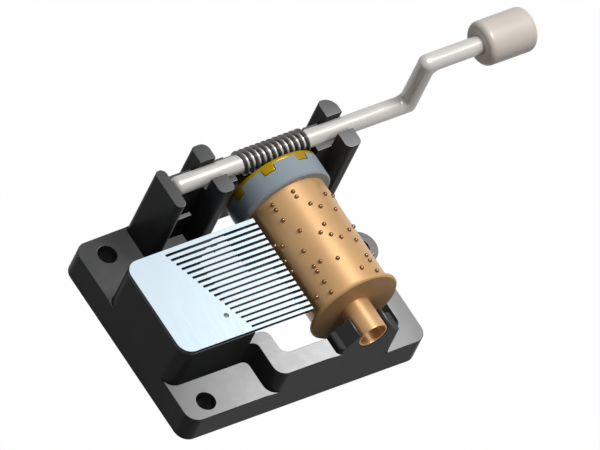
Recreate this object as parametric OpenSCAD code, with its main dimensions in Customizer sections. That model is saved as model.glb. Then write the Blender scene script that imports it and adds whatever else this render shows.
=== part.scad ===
// Hand-cranked music box movement. A black moulded bed carries a steel comb on its
// pedestal and a pinned brass cylinder between its bearing fork and its back wall. The
// worm on a bent crank turns the cylinder through a small worm wheel, and a knob turns
// freely on the crank's pin.
// Millimetres. The origin lies midway between the two left-hand mounting holes, on the
// underside. +X runs along the crank shaft towards the knob, +Y from the bearing fork
// towards the worm, and +Z up.

/* [Comb] */
// Number of teeth
teeth = 18; // [14:1:22]
// Distance from one tooth to the next
tooth_pitch = 1.124; // [1:0.004:1.25]
// Width of the slots between the teeth
tooth_slot = 0.48; // [0.2:0.02:0.5]
// Thickness of the comb
comb_t = 0.85; // [0.7:0.05:1.1]
// Length from the comb's back edge to the tips of its teeth
comb_l = 27.2; // [26:0.1:31]
// Back edge to the root of the longest tooth
bass_root = 8.1; // [7.8:0.1:9]
// Back edge to the root of the shortest tooth
treble_root = 14.65; // [13.5:0.05:15.5]
// Corner radius of the comb and the pedestal
comb_corner_r = 2.5; // [1.8:0.1:3]
// Front edge of the comb to its first slot
comb_front_margin = 0.74; // [0.6:0.02:1]
// Last slot to the back edge of the comb
comb_back_margin = 1.14; // [0.8:0.02:1.4]
// Gap between the pins' circle and the tips of the teeth
comb_gap = 0.17; // [0.1:0.01:0.4]
// Diameter of the comb's locating pin
locating_pin_d = 0.95; // [0.6:0.05:1.2]
// Thread diameter of the screws that hold the comb
screw_d = 2.5; // [2:0.1:2.6]

/* [Bed] */
// Height of the lugs and the base
lug_h = 5.85; // [5:0.05:7]
// Height of the front rail and the ledges
ledge_h = 11.4; // [10.6:0.1:12]
// Height of the comb pedestal
pedestal_h = 14.95; // [14.6:0.05:17]
// Corner radius of the bed
bed_corner_r = 2.5; // [1:0.1:3]
// Width of the front rail, which is the length of the fork's bearing
front_rail_w = 3.85; // [3:0.05:5]
// Length of each shaft bearing, which is the width of the right-hand rail
bearing_l = 3.3; // [2.5:0.1:4]
// Depth of the posts on each side of the shaft
post_w = 3.4; // [2.6:0.1:4]
// Thickness of the back wall
back_wall_t = 1.75; // [1.4:0.05:2.5]
// Hub to the left side of the well under the cylinder
well_left_gap = 6.595; // [6:0.005:7]
// Diameter of the mounting holes
mount_hole_d = 3.5; // [2.6:0.1:4]
// Left face of the bed to the left-hand mounting holes
hole_inset = 5.07; // [4:0.01:6]
// Front face of the bed to the front mounting hole
front_hole_inset = 3.11; // [2.8:0.01:3.6]
// Back face of the bed to the back mounting hole
back_hole_inset = 3.59; // [3:0.01:4.5]
// Radius of the ear round the right-hand mounting hole
ear_r = 3.35; // [3:0.05:4]
// Front face of the bed to the right-hand mounting hole
ear_y = 20.4; // [16:0.1:24]
// Thickness of the stop post at the shaft's end
stop_t = 2.2; // [1.6:0.1:3]

/* [Cylinder] */
// Diameter of the cylinder
cylinder_d = 15.08; // [13:0.1:16]
// Wall of the cylinder
cylinder_wall = 0.5; // [0.4:0.05:0.8]
// Diameter of the pins
pin_d = 0.8; // [0.5:0.05:1]
// Height of the pins above the cylinder
pin_h = 0.44; // [0.4:0.02:0.6]
// Diameter of the flange at the cylinder's front end
flange_d = 17; // [16.4:0.1:17.6]
// Thickness of the front flange
flange_t = 0.6; // [0.4:0.05:1]
// Gap between the bearing fork and the front flange
flange_gap = 2.25; // [1.5:0.05:3]
// Outside diameter of the arbor tube
arbor_d = 5.56; // [5.2:0.02:6]
// Bore of the arbor tube
arbor_bore = 4.9; // [4:0.1:5]
// Diameter of the hub behind the cylinder
hub_d = 17.81; // [17.2:0.01:18.4]
// Width of the hub
hub_w = 4.3; // [3.6:0.05:5]
// Thickness of the tabbed drive plate
plate_t = 0.57; // [0.4:0.01:0.8]
// Number of tabs on the drive plate
tabs = 8; // [4:1:12]

/* [Worm gear] */
// Number of teeth on the worm wheel
wheel_teeth = 24; // [22:1:26]
// Pitch of the worm's thread
worm_pitch = 1.18; // [1.1:0.01:1.25]
// Turns of the worm's thread
worm_turns = 12; // [8:1:12]
// Height of the worm's thread above the shaft
thread_h = 0.64; // [0.56:0.02:0.68]
// Face width of the worm wheel
wheel_w = 2.34; // [1.8:0.02:2.6]
// Diameter of the spindle that carries the worm wheel
spindle_d = 3; // [2.4:0.1:3.4]

/* [Crank] */
// Diameter of the crank's rod
rod_d = 3.3; // [3:0.05:3.5]
// Shaft's axis to the handle's axis
crank_throw = 11.78; // [10.5:0.1:14]
// Right face of the bed to the crank's arm
crank_reach = 13.15; // [9:0.1:18]
// Length of the shaft's end past its left bearing
shaft_tail = 6.55; // [5:0.05:6.6]
// Inside radius of the rod's bends
bend_r = 0.6; // [0.4:0.05:1.75]
// Crank's arm to the knob
knob_reach = 10.75; // [8:0.1:14]
// Diameter of the knob
knob_d = 8; // [7:0.1:10]
// Length of the knob
knob_l = 10.05; // [8:0.1:14]
// Rounding of the knob's ends
knob_round = 1.15; // [0.6:0.05:1.4]

/* [Hidden] */
$fn = 64;
// Steps in an outline's arc
arc_steps = 10;
// Overrun of a cut past the face that it opens
over = 1;
// Running clearance of a shaft in its bearing, on the radius
run_gap = 0.05;

// Places along the cylinder, measured from the bed's front left corner as all places are
comb_front_gap = 1.1;
comb_back_gap = 0.89;
flange_y = front_rail_w + flange_gap;
shell_y0 = flange_y + flange_t;
comb_y0 = shell_y0 + comb_front_gap;
comb_y1 = comb_y0 + comb_front_margin + (teeth - 2) * tooth_pitch + comb_back_margin;
shell_y1 = comb_y1 + comb_back_gap;
hub_y1 = shell_y1 + hub_w;
plate_y1 = hub_y1 + plate_t;

// Cylinder
cyl_r = cylinder_d / 2;
shell_bore_r = cyl_r - cylinder_wall;
pin_circle_r = cyl_r + pin_h;
cyl_x = comb_l + comb_gap + pin_circle_r;
// Height of the pedestal above the cylinder's axis
comb_rise = 0.85;
cyl_z = pedestal_h - comb_rise;
// Depth of the pins' roots in the cylinder
pin_root = 0.3;
// Cement inside the cylinder: its thickness, and its distance from both ends
lining_t = 0.8;
lining_inset = 2;
// Spigots of the flange and the hub inside the cylinder
spigot_l = 1.8;
flange_rim = 0.25;
hub_rim = 0.3;
arbor_rim = 0.2;
arbor_r = arbor_d / 2;
bore_r = arbor_bore / 2;
hub_r = hub_d / 2;

// Drive plate's tabs, and the turn of the first one from +X towards +Z
tab_base = 2.5;
tab_tip = 2;
tab_l = 1.15;
tab_gap = 0.15;
tab_phase = 28;
plate_r = hub_r - run_gap / 2;

// Worm and worm wheel
rod_r = rod_d / 2;
worm_r = rod_r + thread_h;
thread_base = 0.8;
thread_crest = 0.16;
thread_sink = 0.03;
// Steps in a turn of the thread, and the angle at which it starts
thread_steps = 24;
thread_start = 330;
// Height of the worm's thread outside the pitch line
thread_addendum = 0.25;
// Room between a crest and the root that it faces
mesh_gap = 0.15;
worm_pitch_r = worm_r - thread_addendum;
wheel_pitch_r = wheel_teeth * worm_pitch / (2 * PI);
wheel_tip_r = wheel_pitch_r + worm_pitch_r - rod_r - mesh_gap;
wheel_root_r = wheel_pitch_r - thread_addendum - mesh_gap;
wheel_boss_r = 0.75 * wheel_root_r;
tooth_base = 0.78;
tooth_tip = 0.3;
tooth_sink = 0.2;
worm_plate_gap = 0.12;
shaft_y = plate_y1 + worm_r + worm_plate_gap;
shaft_z = cyl_z + wheel_pitch_r + worm_pitch_r;
wheel_y0 = shaft_y - wheel_w / 2;
wheel_y1 = shaft_y + wheel_w / 2;
// Worm's middle to the left of the wheel's middle
worm_shift = 0.73;
worm_x0 = cyl_x - worm_shift - worm_turns * worm_pitch / 2;
// Turn of the wheel that sets its top teeth between the threads
wheel_phase = 90 - 360 / wheel_teeth
    * ((worm_x0 - cyl_x) / worm_pitch + (270 - thread_start) / 360 + 0.5);

// Bed
wheel_side_gap = 0.2;
wall_y0 = wheel_y1 + wheel_side_gap;
bed_w = wall_y0 + back_wall_t;
well_right_gap = 2.5;
well_corner_r = 1.6;
well_left = cyl_x - hub_r - well_left_gap;
well_right = cyl_x + hub_r + well_right_gap;
bed_l = well_right + bearing_l;
ear_inset = 1.45;
ear_x = bed_l - ear_inset;
back_hole_y = bed_w - back_hole_inset;

// Shaft's bearings: slots between upright posts, open at the top
slot_gap = 0.1;
slot_y0 = shaft_y - rod_r - slot_gap;
slot_y1 = shaft_y + rod_r + slot_gap;
post_h = shaft_z + rod_r + slot_gap;
seat_h = shaft_z - rod_r - run_gap;
post_set = 0.3;
post_x0 = well_left + post_set;
post_x1 = post_x0 + bearing_l;
post_front_r = 0.36 * bearing_l;
post_left_r = 0.27 * bearing_l;
left_post_back_r = 0.45 * bearing_l;
right_post_back_r = 0.7 * bearing_l;
wall_drop = 0.55;
bay_gap = 0.4;
bay_y0 = plate_y1 + bay_gap;
bay_side_gap = 3.65;
// Room between the worm's thread and the shaft's left bearing
worm_end_gap = 0.15;
bay_x0 = min(cyl_x - wheel_tip_r - bay_side_gap,
    worm_x0 - thread_base / 2 - worm_end_gap);
bay_x1 = cyl_x + wheel_tip_r + bay_side_gap;
shaft_x0 = post_x0 - shaft_tail;
stop_gap = 0.3;
stop_x1 = shaft_x0 - stop_gap;
stop_x0 = stop_x1 - stop_t;
stop_y0 = shaft_y - 1.5 * rod_d;

// Pedestal, and the ledge that curves from it into the front rail
pedestal_margin = 0.1;
pedestal_lip = 0.33;
pedestal_y0 = comb_y0 - pedestal_margin;
pedestal_y1 = comb_y1 + pedestal_margin;
ledge_bar_w = 3.3;
ledge_left = well_left - ledge_bar_w;
ledge_w = 1.6;
ledge_y1 = pedestal_y0 + ledge_w;
ledge_inner_r = 1.2;
ledge_outer_r = 2.2;
ledge_tip_r = 1.7;

// Bearing fork, measured from the cylinder's axis
fork_half_w = 6.35;
fork_corner_r = 0.85;
fork_gap = 0.08;
fork_rise = 1.45;
fork_chamfer = 0.3;
fork_land = 0.15;
fork_shoulder_x = 5.2;
fork_shoulder_drop = 1.1;
fork_side_r = 0.7;
fork_side_drop = 1.9;

// Comb's screws, their counterbores, and the core pocket between these
screw_x = 4.8;
screw_inset = 1.6 * comb_corner_r;
screw_front_y = comb_y0 + screw_inset;
screw_back_y = comb_y1 - screw_inset;
screw_head_d = 1.8 * screw_d;
screw_head_t = 0.6 * screw_d;
screw_seat_z = pedestal_h / 2;
screw_hole_gap = 0.1;
screw_bite = 0.6;
counterbore_gap = 0.35;
core_wall = 1.2;
core_roof = 2.05;
core_l = 6.4;

// Comb's locating pin
locating_pin_x = treble_root - 3.2 * locating_pin_d;
locating_pin_y = comb_y0 + 4.6 * locating_pin_d;
locating_pin_depth = 2;

// Weights and dampers under the longest teeth
weighted_teeth_share = 0.45;
weight_l = 4;
weight_setback = 1.6;
weight_side_gap = 0.06;
weight_max_h = 2.4;
weight_min_h = 1;
damped_teeth_share = 0.6;
damper_t = 0.15;
damper_w = 0.5;
damper_h = 1.5;
damper_setback = 0.8;

// Spindle, its bush in the back wall and its retaining clip
spindle_r = spindle_d / 2;
spindle_plug_l = 8;
bush_wall = 1.05;
bush_r = spindle_r + run_gap + bush_wall;
clip_gap = 0.1;
clip_t = 0.4;
clip_r = 1.6 * spindle_r;
clip_groove_r = 0.8 * spindle_r;

// Crank and knob
shaft_end_l = 1.4;
shaft_end_r = 0.2;
arm_x = bed_l + crank_reach;
handle_z = shaft_z + crank_throw;
knob_x0 = arm_x + knob_reach;
knob_floor = 1.5;
pin_x1 = knob_x0 + knob_l - knob_floor - run_gap;
ring_x = knob_x0 + knob_l / 2;
ring_t = 0.5;
ring_depth = 0.35;
ring_proud = 0.42;
ring_r = rod_r + ring_proud;
bend_tube_r = 0.98 * rod_r;

// Points at which the cylinder plucks each tooth, in 34ths of a turn, front tooth first
tune_steps = 34;
tune_shares = [[6, 13, 22, 30], [8, 15, 28], [6, 13, 24, 33], [6, 17, 29], [3, 10, 13, 25],
    [12, 13, 21, 31], [6, 18, 27], [8, 16, 26], [6, 9, 13, 23], [4, 10, 16, 27],
    [9, 17, 28], [12, 15, 22, 30], [6, 16, 25], [8, 20, 33], [9, 13, 26], [4, 6, 18, 29],
    [10, 13, 24], [10, 13, 21, 31]];

// X of the teeth's roots at a given Y, on the comb's slanting root line
function root_x(y) = treble_root + (bass_root - treble_root)
    * (y - comb_y0 - comb_front_margin) / ((teeth - 2) * tooth_pitch);

// Y of a slot's middle and of a tooth's middle, counted from the front
function slot_y(k) = comb_y0 + comb_front_margin + k * tooth_pitch;
function tooth_y(i) = slot_y(i - 0.5);

// Points of an arc about c, from angle a0 to angle a1
function oval_arc(c, rx, ry, a0, a1) = [for (i = [0:arc_steps])
    let (a = a0 + (a1 - a0) * i / arc_steps) [c[0] + rx * cos(a), c[1] + ry * sin(a)]];
function arc(c, r, a0, a1) = oval_arc(c, r, r, a0, a1);

// Moves what is placed from the bed's corner to the frame of the mounting holes
module in_frame() {
    translate([-hole_inset, -(front_hole_inset + back_hole_y) / 2, 0]) children();
}

// Turns a shape along +Z at the origin to lie along +Y on the cylinder's axis
module on_cylinder(y) {
    translate([cyl_x, y, cyl_z]) rotate([-90, 0, 0]) children();
}

// Turns a shape along +Z at the origin to lie along +X over the shaft
module along_x(x, z) {
    translate([x, shaft_y, z]) rotate([0, 90, 0]) children();
}

// A square corner less its round: cut off an outer corner, or laid into an inner one
module corner(x, y, left, front, r) {
    translate([x, y]) mirror([left ? 0 : 1, 0]) mirror([0, front ? 0 : 1])
        difference() {
            translate([-over, -over]) square(r + over);
            translate([r, r]) circle(r);
        }
}

// Plan outline with radii at its front left, front right, back right and back left
module plan(x0, x1, y0, y1, r = [0, 0, 0, 0]) {
    difference() {
        translate([x0, y0]) square([x1 - x0, y1 - y0]);
        if (r[0] > 0) corner(x0, y0, true, true, r[0]);
        if (r[1] > 0) corner(x1, y0, false, true, r[1]);
        if (r[2] > 0) corner(x1, y1, false, false, r[2]);
        if (r[3] > 0) corner(x0, y1, true, false, r[3]);
    }
}

// Upright block with the radii of its plan
module block(x0, x1, y0, y1, z0, z1, r = [0, 0, 0, 0]) {
    translate([0, 0, z0]) linear_extrude(z1 - z0) plan(x0, x1, y0, y1, r);
}

// Tube along +Z from the origin
module tube(r_out, r_in, l) {
    difference() {
        cylinder(r = r_out, h = l);
        translate([0, 0, -over]) cylinder(r = r_in, h = l + 2 * over);
    }
}

// Disc along +Z whose lower rim is chamfered
module rimmed_disc(r, rim, l) {
    cylinder(r1 = r - rim, r2 = r, h = rim);
    translate([0, 0, rim]) cylinder(r = r, h = l - rim);
}

module bed_base() {
    r = bed_corner_r;
    front_y = slot_y0 - post_w;
    difference() {
        union() {
            block(0, bed_l, 0, bed_w, 0, lug_h, [r, r, r, r]);
            translate([ear_x, ear_y, 0]) cylinder(r = ear_r, h = lug_h);
        }
        difference() {
            union() {
                block(well_left, well_right, front_rail_w, front_y, -over, lug_h + over,
                    [well_corner_r, well_corner_r, 0, 0]);
                block(post_x1, well_right, front_y - over, bay_y0, -over, lug_h + over);
                block(bay_x0, bay_x1, bay_y0 - over, wall_y0, -over, lug_h + over);
            }
            translate([ear_x, ear_y, -2 * over]) cylinder(r = ear_r, h = lug_h + 4 * over);
        }
    }
}

// S-shaped ledge from the pedestal into the front rail
module front_ledge() {
    start_x = root_x(ledge_y1) - comb_corner_r;
    linear_extrude(ledge_h) union() {
        plan(ledge_left, well_left, 0, ledge_y1, [ledge_outer_r, 0, ledge_tip_r, 0]);
        plan(start_x, ledge_left + over, pedestal_y0, ledge_y1);
        plan(ledge_left + ledge_outer_r, cyl_x - fork_shoulder_x, 0, front_rail_w);
        corner(ledge_left, pedestal_y0, false, false, ledge_inner_r);
        corner(well_left, front_rail_w, true, true, well_corner_r);
    }
}

// Pedestal under the comb, cut back along the slanting roots of the teeth
module pedestal() {
    linear_extrude(pedestal_h) difference() {
        polygon([[0, pedestal_y0], [root_x(pedestal_y0) + pedestal_lip, pedestal_y0],
            [root_x(pedestal_y1) + pedestal_lip, pedestal_y1], [0, pedestal_y1]]);
        corner(0, pedestal_y0, true, true, comb_corner_r);
        corner(0, pedestal_y1, true, false, comb_corner_r);
    }
}

// Stands an outline in X and Z, drawn about the cylinder's axis, along the front rail
module across_rail(overrun) {
    translate([cyl_x, front_rail_w + overrun, cyl_z]) rotate([90, 0, 0])
        linear_extrude(front_rail_w + 2 * overrun) children();
}

// One half of the fork's outline, from its foot up to the slot
function fork_side(side) = concat([[side * fork_half_w, lug_h / 2 - cyl_z]],
    [for (p = arc([fork_half_w - fork_side_r, -fork_side_drop], fork_side_r, 0, 60))
        [side * p[0], p[1]]],
    [[side * fork_shoulder_x, -fork_shoulder_drop],
        [side * (arbor_r + fork_gap + fork_chamfer + fork_land), fork_rise]]);

// Open-topped bearing for the arbor, sloping away from its slot on both sides
module bearing_fork() {
    slot_r = arbor_r + fork_gap;
    mouth = slot_r - fork_gap / 4;
    left = fork_side(-1);
    difference() {
        intersection() {
            across_rail(0) polygon(concat(fork_side(1),
                [for (i = [len(left) - 1:-1:0]) left[i]]));
            block(cyl_x - fork_half_w, cyl_x + fork_half_w, 0, front_rail_w, 0, post_h,
                [fork_corner_r, fork_corner_r, 0, 0]);
        }
        on_cylinder(-over) cylinder(r = slot_r, h = front_rail_w + 2 * over);
        across_rail(over) polygon([[-mouth, 0], [mouth, 0],
            [mouth, fork_rise - fork_chamfer], [mouth + fork_chamfer, fork_rise],
            [mouth + fork_chamfer, fork_rise + over],
            [-mouth - fork_chamfer, fork_rise + over], [-mouth - fork_chamfer, fork_rise],
            [-mouth, fork_rise - fork_chamfer]]);
    }
}

// Bearing block with a post in front of the shaft and one behind it
module shaft_bearing(x0, x1, block_x0, block_x1, back_r) {
    block(block_x0, block_x1, bay_y0, bed_w, 0, seat_h);
    block(x0, x1, slot_y0 - post_w, slot_y0, 0, post_h, [post_front_r, post_front_r, 0, 0]);
    block(x0, x1, slot_y1, slot_y1 + post_w, 0, post_h, [0, 0, back_r, post_left_r]);
}

// Bearings of the shaft, the wall behind the wheel and the post at the shaft's end
module bed_walls() {
    stop_x = (stop_x0 + stop_x1) / 2;
    stop_r = 0.49 * stop_t;
    shaft_bearing(post_x0, post_x1, post_x0, bay_x0, left_post_back_r);
    shaft_bearing(well_right, bed_l, bay_x1, bed_l, right_post_back_r);
    block(bay_x0 - over, bay_x1 + over, wall_y0, bed_w, 0, seat_h - wall_drop);
    block(stop_x, post_x0 + over, shaft_y - rod_r, bed_w, 0, ledge_h);
    block(stop_x, post_x0 + over, shaft_y - rod_r / 2, bed_w, 0, seat_h);
    block(stop_x0, stop_x1, stop_y0, bed_w, 0, post_h, [stop_r, stop_r, stop_r, stop_r]);
}

module bed_frame() {
    counterbore_r = screw_head_d / 2 + counterbore_gap;
    core_x0 = screw_x - counterbore_r;
    color("#26272b") in_frame() difference() {
        union() {
            bed_base();
            front_ledge();
            pedestal();
            bearing_fork();
            bed_walls();
        }
        for (p = [[hole_inset, front_hole_inset], [hole_inset, back_hole_y], [ear_x, ear_y]])
            translate([p[0], p[1], -over]) cylinder(d = mount_hole_d, h = lug_h + 2 * over);
        for (y = [screw_front_y, screw_back_y]) translate([screw_x, y, -over]) {
            cylinder(r = counterbore_r, h = screw_seat_z + over);
            cylinder(d = screw_d + 2 * screw_hole_gap, h = pedestal_h + 2 * over);
        }
        block(core_x0, core_x0 + core_l, screw_front_y + counterbore_r + core_wall,
            screw_back_y - counterbore_r - core_wall, -over, pedestal_h - core_roof);
        translate([locating_pin_x, locating_pin_y, pedestal_h - locating_pin_depth])
            cylinder(d = locating_pin_d, h = locating_pin_depth + over);
        on_cylinder(wall_y0 - over) cylinder(r = bush_r, h = back_wall_t + 2 * over);
    }
}

// Bush in the back wall, in which the spindle turns
module spindle_bush() {
    color("#b08d3c") in_frame() on_cylinder(wall_y0)
        tube(bush_r, spindle_r + run_gap, back_wall_t);
}

module comb() {
    r = comb_corner_r;
    color("#c9d3da") in_frame() difference() {
        block(0, comb_l, comb_y0, comb_y1, pedestal_h, pedestal_h + comb_t, [r, 0, 0, r]);
        for (k = [0:teeth - 2]) let (x = root_x(slot_y(k)))
            translate([x, slot_y(k) - tooth_slot / 2, pedestal_h - over])
            cube([comb_l - x + over, tooth_slot, comb_t + 2 * over]);
        translate([locating_pin_x, locating_pin_y, pedestal_h - over])
            cylinder(d = locating_pin_d, h = comb_t + 2 * over);
        for (y = [screw_front_y, screw_back_y]) translate([screw_x, y, pedestal_h - over])
            cylinder(d = screw_d, h = screw_bite + over);
    }
}

module comb_locating_pin() {
    color("#8d949a") in_frame()
        translate([locating_pin_x, locating_pin_y, pedestal_h - locating_pin_depth])
        cylinder(d = locating_pin_d, h = locating_pin_depth + comb_t);
}

// Pan-headed screws that hold the comb from below, each with a cross recess
module comb_screws() {
    color("#9a9da1") in_frame() for (y = [screw_front_y, screw_back_y])
        translate([screw_x, y, screw_seat_z - screw_head_t]) difference() {
            union() {
                cylinder(d = screw_head_d, h = screw_head_t);
                cylinder(d = screw_d,
                    h = pedestal_h + screw_bite - screw_seat_z + screw_head_t);
            }
            for (a = [0, 90]) rotate(a) translate([-screw_d / 2, -screw_d / 10, -over])
                cube([screw_d, screw_d / 5, over + screw_head_t / 2]);
        }
}

// Lead weights under the ends of the longest teeth, deepest on the longest
module comb_weights() {
    n = round(teeth * weighted_teeth_share);
    w = tooth_pitch - tooth_slot - 2 * weight_side_gap;
    color("#6f7378") in_frame() for (i = [1:n])
        let (depth = weight_min_h + (weight_max_h - weight_min_h) * i / n)
        translate([comb_l - weight_setback - weight_l, tooth_y(teeth - n + i - 1) - w / 2,
            pedestal_h - depth])
        cube([weight_l, w, depth]);
}

// Damper strips under the tips of the longest teeth
module comb_dampers() {
    n = round(teeth * damped_teeth_share);
    color("#5a5f66") in_frame() for (i = [teeth - n:teeth - 1])
        translate([comb_l - damper_setback - damper_t, tooth_y(i) - damper_w / 2,
            pedestal_h - damper_h])
        cube([damper_t, damper_w, damper_h]);
}

module cylinder_shell() {
    color("#b9773f") in_frame() on_cylinder(shell_y0)
        tube(cyl_r, shell_bore_r, shell_y1 - shell_y0);
}

// Round-topped pins driven into the cylinder, one for each plucked note
module melody_pins() {
    straight = pin_root + pin_h - pin_d / 2;
    color("#a8682f") in_frame()
        for (i = [0:teeth - 1], s = tune_shares[i % len(tune_shares)])
        on_cylinder(tooth_y(i)) rotate([0, 0, -360 * s / tune_steps]) rotate([0, 90, 0])
        translate([0, 0, cyl_r - pin_root]) {
            cylinder(d = pin_d, h = straight, $fn = 24);
            translate([0, 0, straight]) sphere(d = pin_d, $fn = 24);
        }
}

// Cement that fixes the pins inside the cylinder
module cement_lining() {
    color("#4b3b2c") in_frame() on_cylinder(shell_y0 + lining_inset)
        tube(shell_bore_r, shell_bore_r - lining_t, shell_y1 - shell_y0 - 2 * lining_inset);
}

module end_flange() {
    l = flange_t + spigot_l;
    color("#9c6a34") in_frame() on_cylinder(flange_y) difference() {
        union() {
            rimmed_disc(flange_d / 2, flange_rim, flange_t);
            cylinder(r = shell_bore_r, h = l);
        }
        translate([0, 0, -over]) cylinder(r = arbor_r, h = l + 2 * over);
    }
}

// Tube that carries the flange and the hub, and turns in the bearing fork
module arbor_tube() {
    l = hub_y1 - run_gap;
    color("#c98f4c") in_frame() on_cylinder(run_gap) difference() {
        rimmed_disc(arbor_r, arbor_rim, l);
        translate([0, 0, -over]) cylinder(r = bore_r, h = l + 2 * over);
    }
}

// Tapering tab that points along -Z, between two radii
module tab_block(base, tip, l, r0, r1) {
    rotate([0, 90, 0]) translate([0, 0, r0]) linear_extrude(r1 - r0)
        polygon([[0, -base / 2], [l, -tip / 2], [l, tip / 2], [0, base / 2]]);
}

// Places a shape at each tab round the rim
module at_tabs() {
    for (k = [0:tabs - 1]) rotate(-tab_phase - 360 * k / tabs) children();
}

module hub() {
    g = tab_gap;
    color("#5b6270") in_frame() on_cylinder(shell_y1) difference() {
        union() {
            rimmed_disc(hub_r, hub_rim, hub_w);
            translate([0, 0, -spigot_l]) cylinder(r = shell_bore_r, h = spigot_l + hub_rim);
        }
        translate([0, 0, -spigot_l - over])
            cylinder(r = arbor_r, h = hub_w + spigot_l + 2 * over);
        at_tabs() translate([0, 0, hub_w + over]) tab_block(tab_base + 2 * g,
            tab_tip + 2 * g, over + tab_l + g, hub_r - plate_t - g, hub_r + over);
    }
}

// Brass plate whose tabs are bent forward into the hub's notches
module drive_plate() {
    r_in = plate_r - plate_t;
    color("#c9a227") in_frame() on_cylinder(hub_y1) difference() {
        intersection() {
            rotate_extrude() polygon([[0, 0], [r_in, 0], [r_in, -tab_l], [plate_r, -tab_l],
                [plate_r, plate_t], [0, plate_t]]);
            union() {
                cylinder(r = plate_r + over, h = plate_t + over);
                at_tabs() translate([0, 0, plate_t / 2]) tab_block(tab_base, tab_tip,
                    tab_l + plate_t / 2, r_in - plate_t, plate_r + over);
            }
        }
        translate([0, 0, -over]) cylinder(r = spindle_r, h = plate_t + 2 * over);
    }
}

// One straight tooth, leaning to match the worm's thread
module wheel_tooth() {
    lead = atan(worm_pitch / (2 * PI * worm_pitch_r));
    r_in = wheel_root_r - tooth_sink;
    r_out = wheel_tip_r + tooth_sink;
    rotate([-lead, 0, 0]) linear_extrude(wheel_w + over, center = true)
        polygon([[r_in, -tooth_base / 2], [wheel_root_r, -tooth_base / 2],
            [wheel_tip_r, -tooth_tip / 2], [r_out, -tooth_tip / 2],
            [r_out, tooth_tip / 2], [wheel_tip_r, tooth_tip / 2],
            [wheel_root_r, tooth_base / 2], [r_in, tooth_base / 2]]);
}

module worm_wheel() {
    l = wheel_y1 - plate_y1;
    color("#c9a227") in_frame() on_cylinder(plate_y1) difference() {
        union() {
            cylinder(r = wheel_boss_r, h = l);
            translate([0, 0, l - wheel_w]) cylinder(r = wheel_root_r, h = wheel_w);
            intersection() {
                translate([0, 0, l - wheel_w]) cylinder(r = wheel_tip_r, h = wheel_w);
                translate([0, 0, l - wheel_w / 2]) for (k = [0:wheel_teeth - 1])
                    rotate(-wheel_phase - 360 * k / wheel_teeth) wheel_tooth();
            }
        }
        translate([0, 0, -over]) cylinder(r = spindle_r, h = l + 2 * over);
    }
}

// Spindle pressed into the back of the arbor tube, with a groove for its clip
module spindle() {
    tail = clip_gap + 2.5 * clip_t;
    color("#a9adb1") in_frame() on_cylinder(hub_y1) difference() {
        union() {
            translate([0, 0, -spindle_plug_l]) cylinder(r = bore_r, h = spindle_plug_l);
            cylinder(r = spindle_r, h = bed_w + tail - hub_y1);
        }
        translate([0, 0, bed_w + clip_gap - hub_y1])
            tube(spindle_r + over, clip_groove_r, clip_t);
    }
}

// Open clip in the spindle's groove, behind the back wall
module spindle_clip() {
    mouth = 0.8 * clip_groove_r;
    color("#33363a") in_frame() on_cylinder(bed_w + clip_gap) difference() {
        tube(clip_r, clip_groove_r, clip_t);
        translate([-mouth, 0, -over]) cube([2 * mouth, clip_r + over, clip_t + 2 * over]);
    }
}

// Inner fillet of a bend: a quarter ring in the crank's plane, turned to start at angle a
module bend_fillet(x, z, a) {
    translate([x, shaft_y, z]) rotate([90, 0, 0]) rotate(a) rotate_extrude(angle = 90)
        translate([rod_r + bend_r, 0]) circle(bend_tube_r);
}

// Bent rod: the shaft with its rounded end, the arm, and the pin of the handle
module crank_rod() {
    bend = rod_r + bend_r;
    color("#b4b2ae") in_frame() difference() {
        union() {
            along_x(shaft_x0, shaft_z) rotate_extrude() polygon(concat([[0, 0]],
                oval_arc([shaft_end_r, shaft_end_l], rod_r - shaft_end_r, shaft_end_l,
                    270, 360),
                [[rod_r, arm_x - shaft_x0], [0, arm_x - shaft_x0]]));
            translate([arm_x, shaft_y, shaft_z]) cylinder(r = rod_r, h = crank_throw);
            translate([arm_x, shaft_y, shaft_z]) sphere(rod_r);
            translate([arm_x, shaft_y, handle_z]) sphere(rod_r);
            along_x(arm_x, handle_z) cylinder(r = rod_r, h = pin_x1 - arm_x);
            bend_fillet(arm_x - bend, shaft_z + bend, -90);
            bend_fillet(arm_x + bend, handle_z - bend, 90);
        }
        along_x(ring_x, handle_z)
            tube(rod_r + over, rod_r - ring_depth, ring_t + 2 * run_gap);
    }
}

// Helical thread of the worm, seated on the shaft
module worm_thread() {
    n = thread_steps * worm_turns;
    r_in = rod_r - thread_sink;
    section = [[-thread_base / 2, r_in], [-thread_crest / 2, worm_r],
        [thread_crest / 2, worm_r], [thread_base / 2, r_in]];
    points = [for (i = [0:n], p = section)
        let (a = thread_start + 360 * i / thread_steps)
        [worm_x0 + worm_pitch * i / thread_steps + p[0], shaft_y + p[1] * cos(a),
            shaft_z + p[1] * sin(a)]];
    sides = [for (i = [0:n - 1], j = [0:3], half = [0, 1])
        let (k = (j + 1) % 4, s = 4 * i)
        half == 0 ? [s + j, s + k, s + 4 + k] : [s + j, s + 4 + k, s + 4 + j]];
    color("#4c4c4e") in_frame() polyhedron(points,
        concat([[3, 2, 1, 0]], sides, [[4 * n, 4 * n + 1, 4 * n + 2, 4 * n + 3]]));
}

// Split ring in the handle pin's groove, which keeps the knob on
module knob_snap_ring() {
    color("#33363a") in_frame() along_x(ring_x + run_gap, handle_z) difference() {
        tube(ring_r, rod_r - ring_depth, ring_t);
        translate([-ring_t / 2, 0, -over]) cube([ring_t, ring_r + over, ring_t + 2 * over]);
    }
}

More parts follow.
